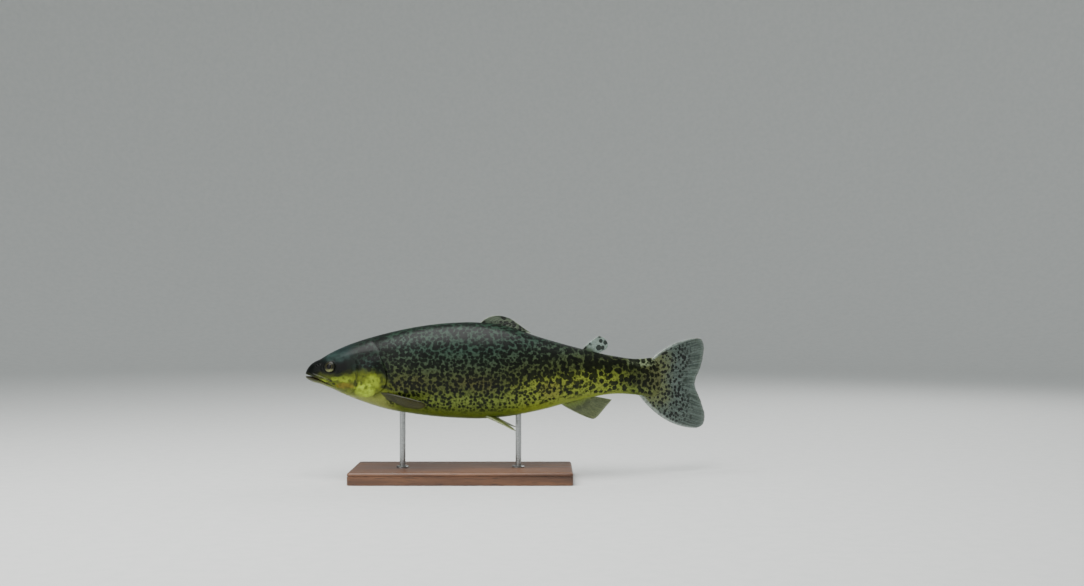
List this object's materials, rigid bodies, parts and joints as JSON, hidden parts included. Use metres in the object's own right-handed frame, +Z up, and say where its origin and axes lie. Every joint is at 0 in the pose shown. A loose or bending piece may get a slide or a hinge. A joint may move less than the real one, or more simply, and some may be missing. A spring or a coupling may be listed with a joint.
{
  "type": "rainbow trout",
  "caption": "Life-size still model of a spotted rainbow trout, gently curved as in swimming, mouth a little open, held on a flat base by slim rods.",
  "frame": {"origin": "middle of the flat underside of the stand's base, on the table", "axes": "+X from the fish's snout towards its tail, +Y from the fish's left side to its right side, +Z up"},
  "size_m": [0.4867, 0.1396, 0.196],
  "materials": {
    "spotted_skin": "wet satin, dark olive with near-black spots and a yellow-green belly",
    "head_skin": "wet satin, near-black olive above, yellow below",
    "gill_skin": "wet satin, yellow-olive with dark blotches",
    "eye": "polished, dark pupil in a brassy ring",
    "fin_web": "satin, thin rayed web with dark spots",
    "stand_wood": "oiled walnut",
    "stand_steel": "brushed"
  },
  "bodies": {
    "root": {"head": "head_skin", "lower_jaw": "head_skin", "maxilla_left": "head_skin", "maxilla_right": "head_skin", "gill_cover_left": "gill_skin", "gill_cover_right": "gill_skin", "eye_left": "eye", "eye_right": "eye", "trunk_front": "spotted_skin", "trunk_rear": "spotted_skin", "tail_stalk": "spotted_skin", "dorsal_fin": "fin_web", "adipose_fin": "fin_web", "anal_fin": "fin_web", "tail_fin": "fin_web", "pectoral_fin_left": "fin_web", "pectoral_fin_right": "fin_web", "pelvic_fin_left": "fin_web", "pelvic_fin_right": "fin_web", "stand_base": "stand_wood", "stand_rod_front": "stand_steel", "stand_rod_rear": "stand_steel"}
  },
  "joints": []
}
